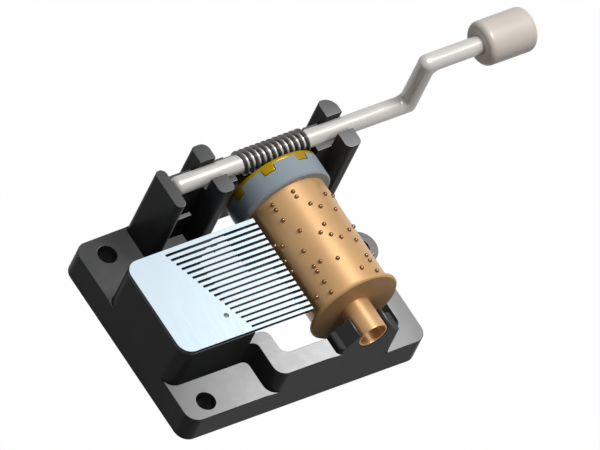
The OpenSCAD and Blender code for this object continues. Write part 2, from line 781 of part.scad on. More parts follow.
// Knob with rounded ends and a blind bore, free to turn on the handle's pin
module knob() {
    f = knob_round;
    r = knob_d / 2;
    color("#77787c") in_frame() along_x(knob_x0, handle_z) difference() {
        rotate_extrude() {
            square([r - f, knob_l]);
            translate([0, f]) square([r, knob_l - 2 * f]);
            translate([r - f, f]) circle(f);
            translate([r - f, knob_l - f]) circle(f);
        }
        translate([0, 0, -over])
            cylinder(r = rod_r + run_gap, h = knob_l - knob_floor + over);
        translate([0, 0, ring_x - knob_x0 - run_gap])
            cylinder(r = ring_r + run_gap, h = ring_t + 4 * run_gap);
    }
}

bed_frame();
comb();
comb_locating_pin();
comb_screws();
comb_weights();
comb_dampers();
spindle_bush();
cylinder_shell();
melody_pins();
cement_lining();
end_flange();
arbor_tube();
hub();
drive_plate();
worm_wheel();
spindle();
spindle_clip();
crank_rod();
worm_thread();
knob_snap_ring();
knob();
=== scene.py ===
"""Looks of a hand-cranked music box movement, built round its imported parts.

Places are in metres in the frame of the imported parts: +X runs along the crank's shaft
towards the knob, +Y along the cylinder towards the worm, and +Z up.
"""

import logging
import math
from abc import ABC, abstractmethod
from contextlib import contextmanager
from dataclasses import dataclass
from enum import Enum
from typing import ClassVar, Iterator

import bpy
from mathutils import Matrix, Vector


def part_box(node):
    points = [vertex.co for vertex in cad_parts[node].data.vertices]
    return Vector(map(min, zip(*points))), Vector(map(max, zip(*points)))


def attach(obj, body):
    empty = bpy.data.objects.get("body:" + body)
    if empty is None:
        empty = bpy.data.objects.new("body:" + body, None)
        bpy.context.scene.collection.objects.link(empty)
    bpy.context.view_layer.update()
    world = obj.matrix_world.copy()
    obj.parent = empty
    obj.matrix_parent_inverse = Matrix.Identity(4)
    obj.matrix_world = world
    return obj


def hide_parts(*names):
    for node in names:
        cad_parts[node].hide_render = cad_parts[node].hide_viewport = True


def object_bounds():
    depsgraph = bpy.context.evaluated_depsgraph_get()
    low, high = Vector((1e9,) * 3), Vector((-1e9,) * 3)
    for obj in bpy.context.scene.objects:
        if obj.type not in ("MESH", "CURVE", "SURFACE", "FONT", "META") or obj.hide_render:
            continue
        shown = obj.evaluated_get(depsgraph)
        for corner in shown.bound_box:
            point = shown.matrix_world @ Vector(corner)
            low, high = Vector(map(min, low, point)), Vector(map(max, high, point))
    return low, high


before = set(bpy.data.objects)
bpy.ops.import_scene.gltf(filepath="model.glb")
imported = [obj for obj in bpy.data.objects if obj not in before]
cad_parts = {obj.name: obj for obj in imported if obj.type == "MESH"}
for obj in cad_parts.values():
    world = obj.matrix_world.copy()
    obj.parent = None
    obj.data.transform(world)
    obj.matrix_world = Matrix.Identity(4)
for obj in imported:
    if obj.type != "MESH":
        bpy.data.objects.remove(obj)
CAD_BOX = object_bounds()
MM = 0.001
Colour = tuple[float, float, float]
Place = tuple[float, float, float]
Corner = tuple[float, float]
Profile = list[Corner]
Socket = bpy.types.NodeSocket
Value = float | Colour | Vector | Socket
log = logging.getLogger("music_box")

QUARTER = math.pi / 2
WHITE = (1.0, 1.0, 1.0)
# Nearly all of a noise lies between these two values
NOISE_RANGE = (0.3, 0.7)
# The sockets of a Mix node that mixes colours
MIX_FACTOR, MIX_FIRST, MIX_SECOND, MIX_RESULT = 0, 6, 7, 2
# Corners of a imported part, and of a turned or wound shape, that are closer than this are one
PACKED_MERGE = 0.002 * MM
SEAM_MERGE = 0.001 * MM
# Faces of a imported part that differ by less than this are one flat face
FLAT_ANGLE = math.radians(0.2)
# Edges past the first angle are rounded, and edges past the second are shaded sharp
ROUNDED_ANGLE = math.radians(35)
SHARP_ANGLE = math.radians(32)
ROUNDING_STEPS = 2
# Large faces count in full for the shading, so that flat ones look flat
LARGE_FACE_WEIGHT = 100
# Holes with any number of sides
ANY_SIDES = 0


class Axis(Enum):
    """The three directions of the frame."""

    X = Vector((1, 0, 0))
    Y = Vector((0, 1, 0))
    Z = Vector((0, 0, 1))

    @property
    def index(self) -> int:
        """Return 0, 1 or 2."""
        return "XYZ".index(self.name)


class Body(Enum):
    """The bodies that pieces move with."""

    BED = "bed"
    CYLINDER = "cylinder"
    CRANK = "crank"
    KNOB = "knob"


class Detail(Enum):
    """How many finer layers a noise has."""

    PLAIN = 2
    USUAL = 3
    RICH = 4


class Picking(Enum):
    """What a selection in edit mode counts in."""

    EDGES = "EDGE"
    FACES = "FACE"


@dataclass(frozen=True)
class Block:
    """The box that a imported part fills.

    Args:
        low: Its lowest corner.
        high: Its highest corner.
    """

    low: Vector
    high: Vector

    @classmethod
    def of(cls, node: str) -> "Block":
        """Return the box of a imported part."""
        return cls(*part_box(node))

    @property
    def centre(self) -> Vector:
        """Return the middle of the box."""
        return (self.low + self.high) / 2

    @property
    def size(self) -> Vector:
        """Return the box's lengths."""
        return self.high - self.low


class Graph:
    """A node tree, with short calls that add and link its nodes."""

    def __init__(self, tree: bpy.types.NodeTree) -> None:
        """Take the node tree to work on."""
        self.tree = tree

    def add(self, kind: str, inputs: dict[int | str, Value] | None = None,
            **settings: object) -> bpy.types.Node:
        """Add a node.

        Args:
            kind: The node's type.
            inputs: Values or sockets for its inputs, by name or number.
            **settings: The node's own settings.

        Returns:
            The new node.
        """
        node = self.tree.nodes.new(kind)
        for key, value in settings.items():
            setattr(node, key, value)
        for key, value in (inputs or {}).items():
            self.put(node.inputs[key], value)
        return node

    def put(self, socket: Socket, value: Value) -> None:
        """Link an input to another node, or set it to a plain value.

        Args:
            socket: The input.
            value: The other node's output, or a number, a place or a colour.
        """
        if isinstance(value, Socket):
            self.tree.links.new(value, socket)
        elif socket.type == "RGBA":
            socket.default_value = (*value, 1)
        else:
            socket.default_value = value

    def ramp(self, value: Socket, low: float = 0, high: float = 1, start: float = 0,
             end: float = 1) -> Socket:
        """Return a value that runs from low to high while the given one runs from start to end."""
        values = {"Value": value, "From Min": start, "From Max": end, "To Min": low, "To Max": high}
        return self.add("ShaderNodeMapRange", values).outputs["Result"]

    def mixed(self, factor: Socket, first: Colour | Socket, second: Colour | Socket) -> Socket:
        """Return a colour between two, by a factor."""
        values = {MIX_FACTOR: factor, MIX_FIRST: first, MIX_SECOND: second}
        return self.add("ShaderNodeMix", values, data_type="RGBA").outputs[MIX_RESULT]

    def seen(self) -> Socket:
        """Tell the rays that look at the room from those that light the object.

        Returns:
            1 for a ray that looks at the room, straight or in a reflection, and 0 otherwise.
        """
        path = self.add("ShaderNodeLightPath")
        total = path.outputs["Is Camera Ray"]
        for ray in ("Is Glossy Ray", "Is Transmission Ray"):
            either = self.add("ShaderNodeMath", {0: total, 1: path.outputs[ray]},
                              operation="MAXIMUM")
            total = either.outputs["Value"]
        return total


class Surface(Graph):
    """The node tree of one material, with its shader and its Object coordinates."""

    def __init__(self, name: str) -> None:
        """Start a material.

        Args:
            name: The material's name.
        """
        self.material = bpy.data.materials.new(name)
        self.material.use_nodes = True
        super().__init__(self.material.node_tree)
        self.shader = self.tree.nodes["Principled BSDF"]
        self.coords = self.add("ShaderNodeTexCoord").outputs["Object"]

    def set_input(self, name: str, value: Value) -> None:
        """Give one of the shader's inputs a value or a pattern."""
        self.put(self.shader.inputs[name], value)

    def noise(self, vector: Socket, size: float, detail: Detail = Detail.USUAL) -> Socket:
        """Return a noise whose features are as wide as the given size."""
        values = {"Vector": vector, "Scale": 1 / size, "Detail": detail.value}
        return self.add("ShaderNodeTexNoise", values).outputs["Fac"]

    def stretched(self, factors: Vector) -> Socket:
        """Return Object coordinates scaled along each axis."""
        values = {"Vector": self.coords, "Scale": factors}
        return self.add("ShaderNodeMapping", values, vector_type="POINT").outputs["Vector"]

    def bump(self, height: Socket, depth: float) -> None:
        """Press a pattern into the surface, with 1 standing above 0 by a depth."""
        values = {"Height": height, "Distance": depth}
        self.set_input("Normal", self.add("ShaderNodeBump", values).outputs["Normal"])


@dataclass(frozen=True)
class Finish(ABC):
    """What every finish has.

    Args:
        name: The material's name.
        slot: A material slot's name, which is not used.
        colour: Its middle colour.
        metallic: How metallic it is.
        roughness: Its middle roughness.
        ior: The index of refraction of its surface.
        mottle: The share by which its colour varies from place to place.
        mottle_size: The width of those places.
        spread: How far its roughness varies each way.
    """

    name: str
    slot: str
    colour: Colour
    metallic: float
    roughness: float
    ior: float = 1.45
    mottle: float = 0.08
    mottle_size: float = 5 * MM
    spread: float = 0.05

    def material(self) -> bpy.types.Material:
        """Make the finish's material, once for all the pieces that have it.

        Returns:
            The material.
        """
        name = f"{self.name}_finish"
        if name in bpy.data.materials:
            return bpy.data.materials[name]
        surface = Surface(name)
        surface.set_input("Metallic", self.metallic)
        surface.set_input("IOR", self.ior)
        surface.set_input("Base Color", self.tint(surface))
        self.texture(surface)
        return surface.material

    def shade(self, factor: float) -> Colour:
        """Return the colour, lighter or darker by a factor."""
        return tuple(min(1.0, c * factor) for c in self.colour)

    def tint(self, surface: Surface) -> Socket:
        """Return the colour at each place, which varies in soft patches."""
        patches = surface.ramp(surface.noise(surface.coords, self.mottle_size), 0, 1, *NOISE_RANGE)
        return surface.mixed(patches, self.shade(1 - self.mottle), self.shade(1 + self.mottle))

    def roughen(self, surface: Surface, pattern: Socket) -> None:
        """Let the roughness vary round its middle value by a pattern."""
        low, high = self.roughness - self.spread, self.roughness + self.spread
        surface.set_input("Roughness", surface.ramp(pattern, low, high, *NOISE_RANGE))

    @abstractmethod
    def texture(self, surface: Surface) -> None:
        """Give the surface its roughness and its fine relief."""


@dataclass(frozen=True)
class Moulded(Finish):
    """A moulded or cast surface with a fine, even grain.

    Args:
        grain: The width of the grain.
        grain_depth: The depth of the grain.
        grains_in_sheen: How many grains wide a patch of even sheen is.
    """

    grain: float = 0.12 * MM
    grain_depth: float = 0.001 * MM
    grains_in_sheen: float = 20

    def texture(self, surface: Surface) -> None:
        """Give the surface its grain and slightly uneven sheen.

        Args:
            surface: The material's node tree.
        """
        sheen_size = self.grains_in_sheen * self.grain
        self.roughen(surface, surface.noise(surface.coords, sheen_size, Detail.RICH))
        surface.bump(surface.noise(surface.coords, self.grain, Detail.PLAIN), self.grain_depth)


@dataclass(frozen=True)
class Brushed(Finish):
    """Metal that is ground or drawn along one direction.

    Args:
        spread: How far its roughness varies each way.
        along: The direction of its fine lines.
        line: The width of the lines.
        line_depth: Their depth.
        stretch: How many times longer than wide they are.
        painted_side_shade: Painted shade, a darker colour put on the upright sides because of how
            they face the light.
        side_end: The height of a face's normal up to which it is a side.
        top_start: The height of a face's normal from which it is the ground top.
    """

    spread: float = 0.08
    along: Axis = Axis.X
    line: float = 0.08 * MM
    line_depth: float = 0.0006 * MM
    stretch: float = 60
    painted_side_shade: Colour | None = None
    side_end: float = 0.55
    top_start: float = 0.8

    def tint(self, surface: Surface) -> Socket:
        """Work out the colour at each place, with painted shade darkening the upright sides.

        Args:
            surface: The material's node tree.

        Returns:
            The colour.
        """
        ground = super().tint(surface)
        if not self.painted_side_shade:
            return ground
        # Painted shade: faces that point sideways get a darker colour by their facing alone
        normal = surface.add("ShaderNodeNewGeometry").outputs["Normal"]
        height = surface.add("ShaderNodeSeparateXYZ", {"Vector": normal}).outputs["Z"]
        top = surface.ramp(height, start=self.side_end, end=self.top_start)
        return surface.mixed(top, self.painted_side_shade, ground)

    def texture(self, surface: Surface) -> None:
        """Give the surface its lines.

        Args:
            surface: The material's node tree.
        """
        factors = Vector((1, 1, 1))
        factors[self.along.index] = 1 / self.stretch
        lines = surface.noise(surface.stretched(factors), self.line)
        self.roughen(surface, lines)
        surface.bump(lines, self.line_depth)


@dataclass(frozen=True)
class Turned(Finish):
    """Metal that is turned on a lathe, with fine rings round its axis.

    Args:
        spread: How far its roughness varies each way.
        axis: The direction of the lathe's axis.
        centred_on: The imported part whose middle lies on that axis.
        ring: The width of the rings.
        ring_depth: Their depth.
    """

    spread: float = 0.06
    axis: Axis = Axis.Y
    centred_on: str = "cylinder_shell"
    ring: float = 0.09 * MM
    ring_depth: float = 0.0006 * MM

    def texture(self, surface: Surface) -> None:
        """Give the surface its rings, which follow each other along the axis and out from it.

        Args:
            surface: The material's node tree.
        """
        centre = Block.of(self.centred_on).centre
        across = Vector((1, 1, 1)) - self.axis.value
        offset = surface.add("ShaderNodeVectorMath", {0: surface.coords, 1: centre},
                             operation="SUBTRACT").outputs["Vector"]
        radial = surface.add("ShaderNodeVectorMath", {0: offset, 1: across},
                             operation="MULTIPLY").outputs["Vector"]
        radius = surface.add("ShaderNodeVectorMath", {0: radial},
                             operation="LENGTH").outputs["Value"]
        parts = surface.add("ShaderNodeSeparateXYZ", {"Vector": offset})
        place = surface.add("ShaderNodeCombineXYZ",
                            {"X": radius, "Y": parts.outputs[self.axis.name]})
        rings = surface.noise(place.outputs["Vector"], self.ring)
        self.roughen(surface, rings)
        surface.bump(rings, self.ring_depth)


BLACK_MOULDING = Moulded("black_moulding", "black_moulding", (0.048, 0.049, 0.051),
                         metallic=0, roughness=0.31, ior=1.11, mottle=0.1, spread=0.01)
BUSH_BRASS = Turned("bush_brass", "bush_brass", (0.6, 0.45, 0.18), metallic=1, roughness=0.3)

# The comb's dark upright sides are painted shade, set by which way each face points
COMB_STEEL = Brushed("comb_steel", "comb_steel", (0.52, 0.62, 0.69),
                     metallic=0.1, roughness=0.45, ior=1.26, mottle=0.02, mottle_size=9 * MM,
                     along=Axis.Y, painted_side_shade=(0.03, 0.04, 0.05))
LOCATING_PIN_STEEL = Turned("locating_pin_steel", "steel_pin", (0.12, 0.14, 0.16),
                            metallic=0.3, roughness=0.35,
                            axis=Axis.Z, centred_on="comb_locating_pin")
SCREW_STEEL = Moulded("screw_steel", "screw_steel", (0.5, 0.51, 0.53),
                      metallic=1, roughness=0.35)
LEAD = Moulded("lead", "lead", (0.30, 0.31, 0.33), metallic=0.8, roughness=0.6,
               grain=0.3 * MM, grain_depth=0.01 * MM)
DAMPER_STEEL = Brushed("damper_steel", "damper_steel", (0.3, 0.32, 0.35),
                       metallic=1, roughness=0.35, along=Axis.Z)

CYLINDER_BRASS = Turned("cylinder_brass", "cylinder_brass", (0.57, 0.335, 0.15),
                        metallic=0.3, roughness=0.33, ior=1.4, mottle=0.03, spread=0.02,
                        ring=0.05 * MM)
FLANGE_BRASS = Turned("flange_brass", "cylinder_brass", (0.60, 0.36, 0.16),
                      metallic=0.05, roughness=0.46, ior=1.25, mottle=0.03, spread=0.02,
                      ring=0.05 * MM)
CEMENT = Moulded("cement", "cement", (0.2, 0.14, 0.09), metallic=0, roughness=0.6,
                 grain=0.4 * MM, grain_depth=0.03 * MM)
PIN_BRASS = Moulded("pin_brass", "pin_brass", (0.19, 0.085, 0.03),
                    metallic=0.4, roughness=0.22)

HUB_GREY = Turned("hub_grey", "hub_grey", (0.28, 0.33, 0.375),
                  metallic=0, roughness=0.42, ior=1.25, mottle=0.04)
GOLD_BRASS = Turned("gold_brass", "gold_brass", (0.40, 0.245, 0.0),
                    metallic=0.25, roughness=0.32, ior=1.25)
SPINDLE_STEEL = Turned("spindle_steel", "spindle_steel", (0.55, 0.56, 0.58),
                       metallic=1, roughness=0.25)
SPRING_STEEL = Moulded("spring_steel", "spring_steel", (0.14, 0.15, 0.16),
                       metallic=0.9, roughness=0.4)

ROD_STEEL = Brushed("rod_steel", "rod_steel", (0.60, 0.58, 0.545),
                    metallic=0.2, roughness=0.3, ior=1.5, mottle=0.04)
WORM_STEEL = Turned("worm_steel", "worm_steel", (0.13, 0.125, 0.12),
                    metallic=0.45, roughness=0.24, axis=Axis.X, centred_on="worm_thread")
KNOB_GREY = Moulded("knob_grey", "knob_grey", (0.61, 0.545, 0.49),
                    metallic=0, roughness=0.4, ior=1.4, mottle=0.03)


def finished(node: str) -> str:
    """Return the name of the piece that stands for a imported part."""
    return f"{node}_finished"


def deselect() -> None:
    """Leave edit mode and deselect every object."""
    if bpy.context.mode != "OBJECT":
        bpy.ops.object.mode_set(mode="OBJECT")
    bpy.ops.object.select_all(action="DESELECT")


def select_only(*pieces: bpy.types.Object) -> None:
    """Select some objects alone, and make the first one active.

    Args:
        *pieces: The objects.
    """
    deselect()
    for piece in pieces:
        piece.select_set(True)
    bpy.context.view_layer.objects.active = pieces[0]


@contextmanager
def editing(piece: bpy.types.Object, picking: Picking = Picking.FACES) -> Iterator[None]:
    """Edit one object's mesh with nothing selected in it.

    Args:
        piece: The object.
        picking: What the selection counts in.

    Returns:
        A context in which the object is in edit mode.
    """
    select_only(piece)
    bpy.ops.object.mode_set(mode="EDIT")
    bpy.ops.mesh.select_mode(type=picking.value)
    bpy.ops.mesh.select_all(action="DESELECT")
    yield
    bpy.ops.object.mode_set(mode="OBJECT")


def apply_modifier(piece: bpy.types.Object, kind: str, **settings: object) -> None:
    """Add a modifier to an object and apply it.

    Args:
        piece: The object.
        kind: The modifier's type.
        **settings: The modifier's settings.
    """
    select_only(piece)
    modifier = piece.modifiers.new(kind.title(), kind)
    for key, value in settings.items():
        setattr(modifier, key, value)
    bpy.ops.object.modifier_apply(modifier=modifier.name)


def move(piece: bpy.types.Object, offset: Vector) -> None:
    """Move an object that sits at the origin, and put the move into its mesh.

    Args:
        piece: The object.
        offset: How far it moves.
    """
    select_only(piece)
    piece.location = offset
    bpy.ops.object.transform_apply(location=True, rotation=False, scale=False)


def merged_copy(node: str, name: str) -> bpy.types.Object:
    """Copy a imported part, with its loose triangles joined into whole faces.

    Args:
        node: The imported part.
        name: The copy's name.

    Returns:
        The copy, whose place is in its mesh.
    """
    piece = bpy.data.objects.new(name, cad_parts[node].data.copy())
    bpy.context.scene.collection.objects.link(piece)
    piece.data.materials.clear()
    select_only(piece)
    bpy.ops.mesh.customdata_custom_splitnormals_clear()
    with editing(piece):
        bpy.ops.mesh.select_all(action="SELECT")
        bpy.ops.mesh.remove_doubles(threshold=PACKED_MERGE)
        bpy.ops.mesh.dissolve_limited(angle_limit=FLAT_ANGLE)
    return piece


def soften(piece: bpy.types.Object, width: float) -> None:
    """Round the sharp edges of a piece by a width."""
    apply_modifier(piece, "BEVEL", width=width, segments=ROUNDING_STEPS, limit_method="ANGLE",
                   angle_limit=ROUNDED_ANGLE, use_clamp_overlap=False, miter_outer="MITER_ARC")


def smooth(piece: bpy.types.Object) -> None:
    """Shade a piece smooth across all edges but the sharp ones, with its flat faces flat.

    Args:
        piece: The object.
    """
    select_only(piece)
    bpy.ops.object.shade_smooth_by_angle(angle=SHARP_ANGLE)
    apply_modifier(piece, "WEIGHTED_NORMAL", keep_sharp=True, weight=LARGE_FACE_WEIGHT)


def outline(name: str, corners: list[Vector]) -> bpy.types.Object:
    """Draw a closed outline.

    Args:
        name: Its name.
        corners: Its corners in order.

    Returns:
        The outline, a ring of edges.
    """
    deselect()
    bpy.ops.mesh.primitive_circle_add(vertices=len(corners), fill_type="NOTHING")
    piece = bpy.context.active_object
    piece.name = name
    for vertex, corner in zip(piece.data.vertices, corners):
        vertex.co = corner
    return piece


def open_outline(piece: bpy.types.Object) -> None:
    """Take away the edge between the last corner of an outline and its first.

    Args:
        piece: The outline.
    """
    ends = {0, len(piece.data.vertices) - 1}
    with editing(piece, Picking.EDGES):
        bpy.ops.object.mode_set(mode="OBJECT")
        for edge in piece.data.edges:
            edge.select = set(edge.vertices) == ends
        bpy.ops.object.mode_set(mode="EDIT")
        bpy.ops.mesh.delete(type="EDGE")


def close(piece: bpy.types.Object) -> None:
    """Close the seams and ends of a turned or wound shape, with all its faces outwards.

    Args:
        piece: The shape.
    """
    with editing(piece):
        bpy.ops.mesh.select_all(action="SELECT")
        bpy.ops.mesh.remove_doubles(threshold=SEAM_MERGE)
        bpy.ops.mesh.fill_holes(sides=ANY_SIDES)
        bpy.ops.mesh.select_all(action="SELECT")
        bpy.ops.mesh.normals_make_consistent(inside=False)


def arc(centre: Corner, radius: float, start: float, end: float, steps: int) -> Profile:
    """Draw a round stretch of a turned shape's profile.

    Args:
        centre: The arc's centre, as a radius and a place along the axis.
        radius: The arc's own radius.
        start: The angle at which it starts, 0 being straight out from the axis.
        end: The angle at which it ends.
        steps: How many steps it has.

    Returns:
        Its corners, both ends among them.
    """
    angles = [start + (end - start) * i / steps for i in range(steps + 1)]
    return [(centre[0] + radius * math.cos(t), centre[1] + radius * math.sin(t)) for t in angles]


def turned(name: str, axis: Axis, profile: Profile, steps: int = 128) -> bpy.types.Object:
    """Turn a shape as on a lathe, with its axis through the origin.

    Args:
        name: Its name.
        axis: The direction of its axis.
        profile: The radius and the place along the axis of each corner. That of a solid
            shape starts and ends on the axis, and that of a tube is closed.
        steps: How many steps a full turn has.

    Returns:
        The shape.
    """
    out = Axis.X.value if axis is Axis.Z else Axis.Z.value
    piece = outline(name, [axis.value * place + out * radius for radius, place in profile])
    if profile[0][0] == 0:
        open_outline(piece)
    apply_modifier(piece, "SCREW", axis=axis.name, angle=math.tau, steps=steps,
                   render_steps=steps, use_merge_vertices=True, merge_threshold=SEAM_MERGE)
    close(piece)
    return piece


class Assembly(ABC):
    """Pieces that are made together and move with one body."""

    body: ClassVar[Body]

    @abstractmethod
    def build(self) -> None:
        """Build and dress every piece."""

    def soften_part(self, node: str, finish: Finish, edge: float = 0.0) -> None:
        """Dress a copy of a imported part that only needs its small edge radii."""
        self.dress(merged_copy(node, finished(node)), node, finish, edge)

    def turn_part(self, node: str, finish: Finish, axis: Axis, profile: Profile,
                  edge: float = 0.0) -> None:
        """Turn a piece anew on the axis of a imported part, and dress it.

        Args:
            node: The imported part.
            finish: The piece's finish.
            axis: The direction of its axis.
            profile: The radius and the place along the axis of each corner.
            edge: The radius of its sharp edges, or 0 to leave them.
        """
        piece = turned(finished(node), axis, profile)
        middle = Block.of(node).centre
        middle[axis.index] = 0
        move(piece, middle)
        self.dress(piece, node, finish, edge)

    def dress(self, piece: bpy.types.Object, node: str, finish: Finish,
              edge: float = 0.0) -> None:
        """Round a piece's edges, shade it, and give it its finish and its place in the model.

        Args:
            piece: The object, with its place in its mesh.
            node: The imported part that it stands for.
            finish: Its finish.
            edge: The radius of its sharp edges, or 0 to leave them.
        """
        if edge:
            soften(piece, edge)
        smooth(piece)
        piece.data.materials.append(finish.material())
        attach(piece, self.body.value)
        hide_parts(node)
        log.info("%s: %d faces, %s", piece.name, len(piece.data.polygons), finish.name)


@dataclass(frozen=True)
class Bed(Assembly):
    """The moulded bed and the brass bush in its back wall.

    Args:
        moulding_edge: The edge radius of the moulding.
        bush_edge: The edge radius of the bush.
    """

    body: ClassVar[Body] = Body.BED
    moulding_edge: float = 0.12 * MM
    bush_edge: float = 0.06 * MM

    def build(self) -> None:
        """Build the moulding and the bush."""
        self.soften_part("bed_frame", BLACK_MOULDING, self.moulding_edge)
        self.soften_part("spindle_bush", BUSH_BRASS, self.bush_edge)


@dataclass(frozen=True)
class Comb(Assembly):
    """The comb, its pin and screws, and the weights and dampers of its teeth.

    Args:
        comb_edge: The edge radius of the comb.
        pin_edge: The edge radius of its locating pin.
        screw_edge: The edge radius of its screws.
        weight_edge: The edge radius of its weights.
    """

    body: ClassVar[Body] = Body.BED
    comb_edge: float = 0.04 * MM
    pin_edge: float = 0.08 * MM
    screw_edge: float = 0.05 * MM
    weight_edge: float = 0.08 * MM

    def build(self) -> None:
        """Build the comb and its small parts. The thin dampers keep their sharp edges."""
        self.soften_part("comb", COMB_STEEL, self.comb_edge)
        self.soften_part("comb_locating_pin", LOCATING_PIN_STEEL, self.pin_edge)
        self.soften_part("comb_screws", SCREW_STEEL, self.screw_edge)
        self.soften_part("comb_weights", LEAD, self.weight_edge)
        self.soften_part("comb_dampers", DAMPER_STEEL)


@dataclass(frozen=True)
class Cylinder(Assembly):
    """The brass cylinder with its flange and cement, on its arbor tube.

    Args:
        shell_wall: The thickness of the cylinder's wall.
        arbor_wall: The thickness of the arbor tube's wall.
        tube_edge: The edge radius of both tubes.
    """

    body: ClassVar[Body] = Body.CYLINDER
    shell_wall: float = 0.5 * MM
    arbor_wall: float = 0.33 * MM
    tube_edge: float = 0.08 * MM

    def build(self) -> None:
        """Build both tubes, the cement and the flange."""
        self.build_tube("cylinder_shell", self.shell_wall)
        self.build_tube("arbor_tube", self.arbor_wall)
        self.soften_part("cement_lining", CEMENT)
        self.soften_part("end_flange", FLANGE_BRASS)

    def build_tube(self, node: str, wall: float) -> None:
        """Turn a brass tube.

        Args:
            node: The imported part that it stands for.
            wall: The thickness of its wall.
        """
        block = Block.of(node)
        outer = block.size.x / 2
        inner = outer - wall
        front, back = block.low.y, block.high.y
        profile = [(outer, front), (outer, back), (inner, back), (inner, front)]
        self.turn_part(node, CYLINDER_BRASS, Axis.Y, profile, self.tube_edge)


@dataclass(frozen=True)
class Drive(Assembly):
    """The hub, plate and wheel behind the cylinder, and the spindle that they turn on.

    Args:
        plate_edge: The edge radius of the drive plate.
        wheel_edge: The edge radius of the worm wheel.
        spindle_edge: The edge radius of the spindle.
        clip_edge: The edge radius of the spindle's clip.
    """

    body: ClassVar[Body] = Body.CYLINDER
    plate_edge: float = 0.05 * MM
    wheel_edge: float = 0.04 * MM
    spindle_edge: float = 0.05 * MM
    clip_edge: float = 0.04 * MM

    def build(self) -> None:
        """Build the drive from the hub to the clip. The hub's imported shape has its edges."""
        self.soften_part("hub", HUB_GREY)
        self.soften_part("drive_plate", GOLD_BRASS, self.plate_edge)
        self.soften_part("worm_wheel", GOLD_BRASS, self.wheel_edge)
        self.soften_part("spindle", SPINDLE_STEEL, self.spindle_edge)
        self.soften_part("spindle_clip", SPRING_STEEL, self.clip_edge)


@dataclass(frozen=True)
class MelodyPins(Assembly):
    """The tune's pins: one is turned, and a copy stands at the place of each packed one.

    Args:
        diameter: The diameter of a pin.
        length: The length of a pin with its root.
        stand: How far a pin's top stands out of the cylinder.
        turn_steps: How many steps the turn round a pin has.
        dome_steps: How many steps its round top has.
    """

    body: ClassVar[Body] = Body.CYLINDER
    diameter: float = 0.8 * MM
    length: float = 0.74 * MM
    stand: float = 0.44 * MM
    turn_steps: int = 24
    dome_steps: int = 7

    def build(self) -> None:
        """Turn one pin, copy it to every place and join the copies."""
        radius = self.diameter / 2
        dome = arc((0, self.length - radius), radius, 0, QUARTER, self.dome_steps)
        pattern = turned("pin_pattern", Axis.Z, [(0, 0), (radius, 0), *dome], self.turn_steps)
        copies = [self.copy_to(place, pattern) for place in self.places()]
        bpy.data.objects.remove(pattern)
        select_only(*copies)
        bpy.ops.object.join()
        piece = bpy.context.active_object
        piece.name = finished("melody_pins")
        self.dress(piece, "melody_pins", PIN_BRASS)

    def places(self) -> list[Vector]:
        """Find the middle of each packed pin.

        Returns:
            The middles, from the cylinder's front to its back.
        """
        select_only(merged_copy("melody_pins", "pin_sample"))
        bpy.ops.mesh.separate(type="LOOSE")
        pins = [pin.data.vertices for pin in bpy.context.selected_objects]
        middles = [sum((corner.co for corner in pin), Vector()) / len(pin) for pin in pins]
        bpy.ops.object.delete()
        return sorted(middles, key=lambda middle: (middle.y, middle.x))

    def copy_to(self, place: Vector, pattern: bpy.types.Object) -> bpy.types.Object:
        """Copy the pin to its place, pointing straight out from the cylinder's axis.

        Args:
            place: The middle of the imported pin.
            pattern: The pin, standing upright on the origin.

        Returns:
            The copy, with its place in its mesh.
        """
        shell = Block.of("cylinder_shell")
        axis = Vector((shell.centre.x, place.y, shell.centre.z))
        out = (place - axis).normalized()
        foot = axis + (shell.size.x / 2 + self.stand - self.length) * out
        lean = Axis.Z.value.rotation_difference(out).to_matrix().to_4x4()
        copy = pattern.copy()
        copy.data = pattern.data.copy()
        copy.data.transform(Matrix.Translation(foot) @ lean)
        bpy.context.scene.collection.objects.link(copy)
        return copy


@dataclass(frozen=True)
class Crank(Assembly):
    """The bent rod and the ring that keeps the knob on it.

    Args:
        ring_edge: The edge radius of the snap ring.
    """

    body: ClassVar[Body] = Body.CRANK
    ring_edge: float = 0.04 * MM

    def build(self) -> None:
        """Build the rod and the snap ring. The rod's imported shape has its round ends."""
        self.soften_part("crank_rod", ROD_STEEL)
        self.soften_part("knob_snap_ring", SPRING_STEEL, self.ring_edge)


@dataclass(frozen=True)
class Worm(Assembly):
    """The worm's thread, wound on the shaft as one smooth helix.

    Args:
        pitch: The distance from turn to turn.
        turns: How many turns it has.
        start: The angle at which it starts, from +Y towards +Z.
        height: The height of its crest above its root.
        foot: The width of its foot.
        crest: The width of its crest.
        bevel: The width of the bevels along its crest.
        turn_steps: How many steps a turn has.
    """

    body: ClassVar[Body] = Body.CRANK
    pitch: float = 1.18 * MM
    turns: int = 12
    start: float = math.radians(330)
    height: float = 0.67 * MM
    foot: float = 0.8 * MM
    crest: float = 0.20 * MM
    bevel: float = 0.02 * MM
    turn_steps: int = 64

    def build(self) -> None:
        """Wind the thread's section along the shaft and close both ends."""
        block = Block.of("worm_thread")
        piece = outline(finished("worm_thread"), self.section(block))
        apply_modifier(piece, "SCREW", axis="X", angle=math.tau, screw_offset=self.pitch,
                       iterations=self.turns, steps=self.turn_steps,
                       render_steps=self.turn_steps)
        close(piece)
        move(piece, Vector((0, block.centre.y, block.centre.z)))
        self.dress(piece, "worm_thread", WORM_STEEL)

    def section(self, block: Block) -> list[Vector]:
        """Draw the thread's section where it starts, with the shaft's axis through the origin.

        Args:
            block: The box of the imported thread.

        Returns:
            The corners of the section.
        """
        top = block.size.z / 2
        root = top - self.height
        shoulder = top - self.bevel
        half, flat = self.foot / 2, self.crest / 2
        corners = [(-half, root), (-flat, shoulder), (self.bevel - flat, top),
                   (flat - self.bevel, top), (flat, shoulder), (half, root)]
        first = block.low.x + half
        out = Vector((0, math.cos(self.start), math.sin(self.start)))
        return [Vector((first + along, 0, 0)) + radius * out for along, radius in corners]


